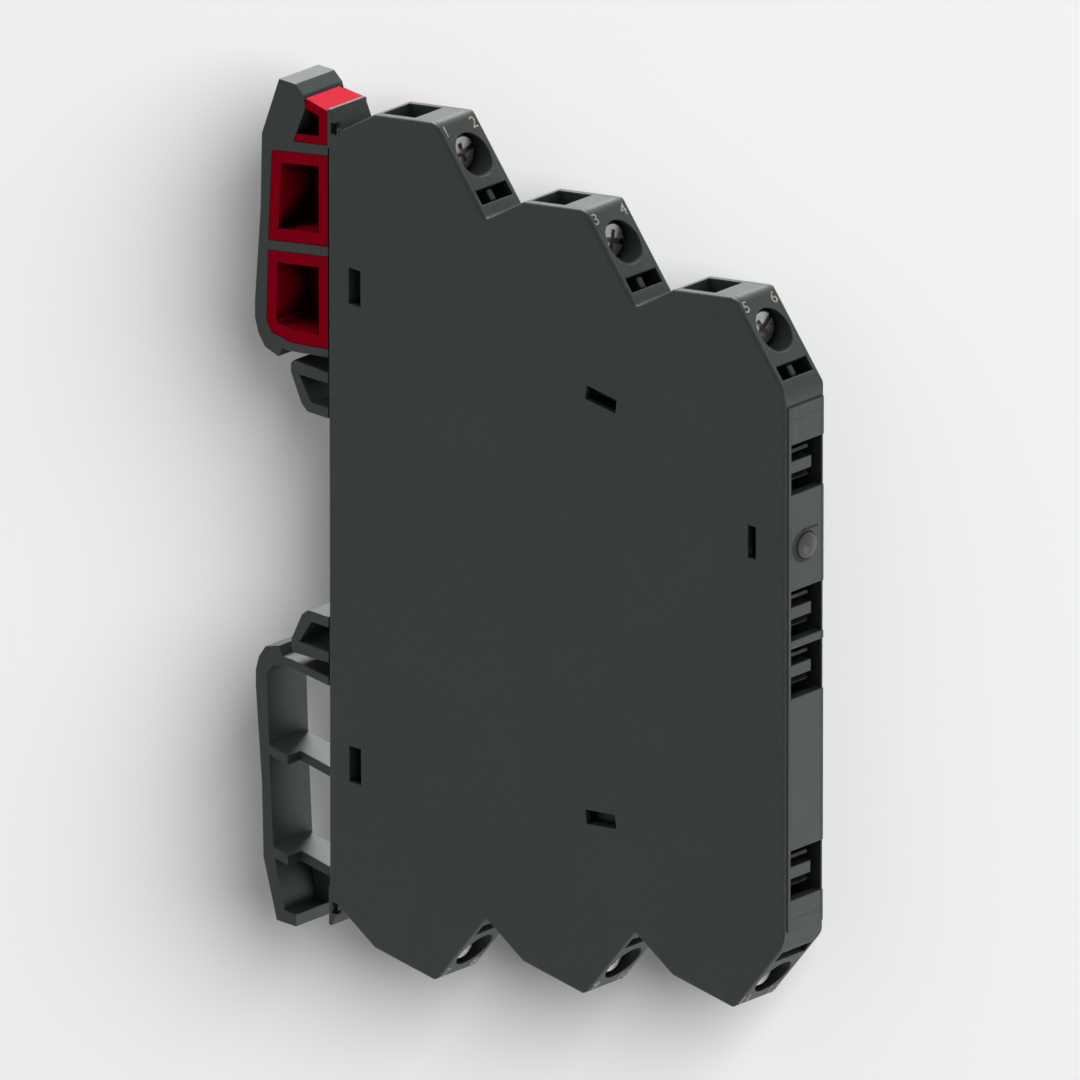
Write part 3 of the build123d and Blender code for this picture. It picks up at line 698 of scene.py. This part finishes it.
def turnedLens(s):
    # Carried round the X axis: a flat back, a barrel, then the dome
    # x = shoulder + (tip - shoulder) sin(a), r = radius cos(a)
    a = np.linspace(0.0, np.pi / 2, s["rows"])[:-1]
    x = np.concatenate([[s["back"], s["back"]], s["shoulder"] + (s["tip"] - s["shoulder"]) * np.sin(a)])
    r = np.concatenate([[s["backRing"] * s["radius"], s["radius"]], s["radius"] * np.cos(a)])
    turn = np.linspace(0.0, 2 * np.pi, s["columns"], endpoint=False)
    y, z = s["middle"]
    grid = np.stack([
        np.repeat(x, s["columns"]),
        (y + r[:, None] * np.cos(turn)).ravel(),
        (z + r[:, None] * np.sin(turn)).ravel(),
    ], 1)
    points = np.concatenate([grid, [[s["back"], y, z], [s["tip"], y, z]]])
    lens = addPiece("lensDome", points, cappedFaces(len(x), s["columns"]), lampLens)
    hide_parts("status_led")


turnedLens(lensShape)

# Front face: the joint between the moulding and its cover, and the groove over the lamp, both as dark
# strips; the groove's strip is painted shade
frontSet = {
    "joint": {"y": (0.00236, 0.00244), "z": (-0.0295, 0.0295)},
    "lampGroove": {"y": (-0.0008, 0.0019), "z": (0.01562, 0.01592)},
    "face": 0.07395,              # X of the front face
    "proud": 0.000006,
    "edge": 0.3,                  # share of proud at the two long edges
    "points": 9,
}
# Near black: the joint's gap, and painted shade in the lamp's groove and seat
gapAndShadeSet = dict(
    chipSet,
    dark=(0.006, 0.007, 0.007),
    light=(0.012, 0.013, 0.013),
    grain=(5000.0, 5.0, 0.65),
    grainDepth=0.000004,
    rough=0.8,
)
darkGapAndShade = grainedBlock("darkGapAndShade", gapAndShadeSet)


def darkLine(name, s):
    # A thin ribbon on the front face; v runs across its width, and it is bowed out
    # by proud * (edge + (1 - edge) sin(pi v))
    v = np.linspace(0.0, 1.0, s["points"])
    x = s["face"] + s["proud"] * (s["edge"] + (1.0 - s["edge"]) * np.sin(np.pi * v))
    y, z = s[name]["y"], s[name]["z"]
    upright = (z[1] - z[0]) > (y[1] - y[0])
    lineY = y[0] + (y[1] - y[0]) * v if upright else np.array(y)
    lineZ = np.array(z) if upright else z[0] + (z[1] - z[0]) * v
    gridY, gridZ = np.meshgrid(lineY, lineZ, indexing="ij")
    gridX = np.broadcast_to(x[:, None] if upright else x[None, :], gridY.shape)
    points = np.stack([gridX.ravel(), gridY.ravel(), gridZ.ravel()], 1)
    faces = [face[::-1] for face in gridFaces(*gridY.shape, False)]
    addPiece(name, points, faces, darkGapAndShade)


for lineName in ("joint", "lampGroove"):
    darkLine(lineName, frontSet)

# Lamp's seat: the shade on its deep side
shadeSet = {
    "inner": 0.00155,             # radii
    "outer": 0.00190,
    "shift": -0.00036,            # of the outer circle, along Y
    "columns": 64,
}


def lampShade(s, middle, x):
    # A crescent between two circles: middle + radius (cos a, sin a), the outer one shifted across
    a = np.linspace(0.0, 2 * np.pi, s["columns"], endpoint=False)
    y, z = middle
    r = np.array([[s["inner"]], [s["outer"]]])
    moved = np.array([[0.0], [s["shift"]]])
    grid = np.stack([np.full((2, s["columns"]), x), y + moved + r * np.cos(a), z + r * np.sin(a)], -1)
    faces = gridFaces(2, s["columns"], True)
    addPiece("lampShade", grid.reshape(-1, 3), faces, darkGapAndShade)


lampShade(shadeSet, lensShape["middle"], frontSet["face"] + frontSet["proud"])
print("front dressed")


# Stage: a pale floor that sweeps up to a wall behind the cover
stageSet = {
    "wall": 0.014,                # Y of the wall
    "floor": -0.16,               # Z of the floor
    "sweep": 0.06,                # radius between them
    "reach": 2.0,
    "arcPoints": 25,
    "colour": (0.83, 0.83, 0.83),
    "paler": 1.005,               # the mottle's lighter tone, as a share of the colour
    "mottle": (3.0, 3.0, 0.55),
    "glow": 0.035,
}


def sweptStage(s):
    # The profile (y, z) runs along the floor, round a quarter circle and up the wall; carried along X
    turn = np.linspace(0.0, np.pi / 2, s["arcPoints"])
    arcY = s["wall"] - s["sweep"] + s["sweep"] * np.sin(turn)
    arcZ = s["floor"] + s["sweep"] - s["sweep"] * np.cos(turn)
    y = np.concatenate(([-s["reach"]], arcY, [s["wall"]]))
    z = np.concatenate(([s["floor"]], arcZ, [s["reach"]]))
    x = np.array([-s["reach"], s["reach"]])
    points = np.stack([np.repeat(x, len(y)), np.tile(y, 2), np.tile(z, 2)], 1)
    first = np.arange(len(y) - 1)
    quads = np.stack([first, first + len(y), first + len(y) + 1, first + 1], 1)
    mesh = bpy.data.meshes.new("stage")
    mesh.from_pydata(points.tolist(), [], quads.tolist())
    mesh.polygons.foreach_set("use_smooth", np.ones(len(quads), bool))
    mesh.update()
    stage = bpy.data.objects.new("stage", mesh)
    scene.collection.objects.link(stage)
    return stage


def paleCard(s):
    # Pale on its front and clear on its back, so that it never hides the part
    material, tree, shader = newMaterial("paleCard")
    mottle = noise(tree, objectCoords(tree), *s["mottle"])
    tone = mixColours(tree, mottle, s["colour"], tuple(c * s["paler"] for c in s["colour"]))
    tree.links.new(tone, shader.inputs["Base Color"])
    tree.links.new(tone, shader.inputs["Emission Color"])
    shader.inputs["Emission Strength"].default_value = s["glow"]
    shader.inputs["Roughness"].default_value = 1.0
    shader.inputs["Specular IOR Level"].default_value = 0.0
    clear = addNode(tree, "ShaderNodeBsdfTransparent")
    side = addNode(tree, "ShaderNodeNewGeometry")
    either = addNode(tree, "ShaderNodeMixShader")
    tree.links.new(side.outputs["Backfacing"], either.inputs[0])
    tree.links.new(shader.outputs[0], either.inputs[1])
    tree.links.new(clear.outputs[0], either.inputs[2])
    output = [n for n in tree.nodes if n.type == "OUTPUT_MATERIAL"][0]
    tree.links.new(either.outputs[0], output.inputs["Surface"])
    return material


stage = sweptStage(stageSet)
stage.data.materials.append(paleCard(stageSet))
stage.visible_shadow = False      # it shades nothing
stage.visible_diffuse = False     # and passes no light on
print("stage set")


# World: soft light from all round, brighter above; plain pale to the camera and in reflections
worldSet = {
    "heights": (-0.6, 0.9),       # Z of the direction, from the dimmest light to the brightest
    "below": 0.09,
    "above": 0.50,
    "seen": 0.83,
}


def softWorld(s):
    world = bpy.data.worlds.new("world")
    world.use_nodes = True
    tree = world.node_tree
    tree.nodes.clear()
    output = tree.nodes.new("ShaderNodeOutputWorld")
    coords = addNode(tree, "ShaderNodeTexCoord")
    split = addNode(tree, "ShaderNodeSeparateXYZ")
    tree.links.new(coords.outputs["Generated"], split.inputs[0])
    light = addNode(tree, "ShaderNodeBackground", {"Color": (1.0, 1.0, 1.0, 1.0)})
    brightness = ramp(tree, split.outputs["Z"], *s["heights"], s["below"], s["above"])
    tree.links.new(brightness, light.inputs["Strength"])
    pale = (s["seen"], s["seen"], s["seen"], 1.0)
    seen = addNode(tree, "ShaderNodeBackground", {"Color": pale, "Strength": 1.0})
    path = addNode(tree, "ShaderNodeLightPath")
    direct = path.outputs["Is Camera Ray"]
    for ray in ("Is Glossy Ray", "Is Transmission Ray"):
        plain = addNode(tree, "ShaderNodeMath", operation="MAXIMUM")
        tree.links.new(direct, plain.inputs[0])
        tree.links.new(path.outputs[ray], plain.inputs[1])
        direct = plain.outputs[0]
    either = addNode(tree, "ShaderNodeMixShader")
    tree.links.new(direct, either.inputs[0])
    tree.links.new(light.outputs[0], either.inputs[1])
    tree.links.new(seen.outputs[0], either.inputs[2])
    tree.links.new(either.outputs[0], output.inputs["Surface"])
    scene.world = world


softWorld(worldSet)

# Lamps: where each stands from the part's middle, its size, its power and what it lights
middle = (cadLow + cadHigh) / 2
lampSet = {
    "topLamp": {"from": (-0.52, 0.50, 0.72), "size": 0.5, "power": 15.0},
    "frontLamp": {"from": (0.80, 0.35, -0.45), "size": 0.5, "power": 5.4},
    "coverLamp": {"from": (0.20, 1.00, 0.35), "size": 0.8, "power": 3.5},
    "wallLamp": {"from": (5.055, -2.991, 3.015), "size": 3.3, "power": 745.0, "only": "stage"},
}
for lampName, s in lampSet.items():
    lamp = bpy.data.lights.new(lampName, "AREA")
    lamp.shape, lamp.size, lamp.energy = "DISK", s["size"], s["power"]
    lampObject = bpy.data.objects.new(lampName, lamp)
    scene.collection.objects.link(lampObject)
    lampObject.location = middle + Vector(s["from"])
    lampObject.rotation_mode = "QUATERNION"
    lampObject.rotation_quaternion = Vector(s["from"]).to_track_quat("Z", "Y")
    lit = bpy.data.collections.new(lampName + "Lit")
    if s.get("only") == "stage":
        lit.objects.link(stage)
    else:
        for node in [*frame["nodes"].values(), *pieces]:
            lit.objects.link(node)
    lampObject.light_linking.receiver_collection = lit
print("lights set")
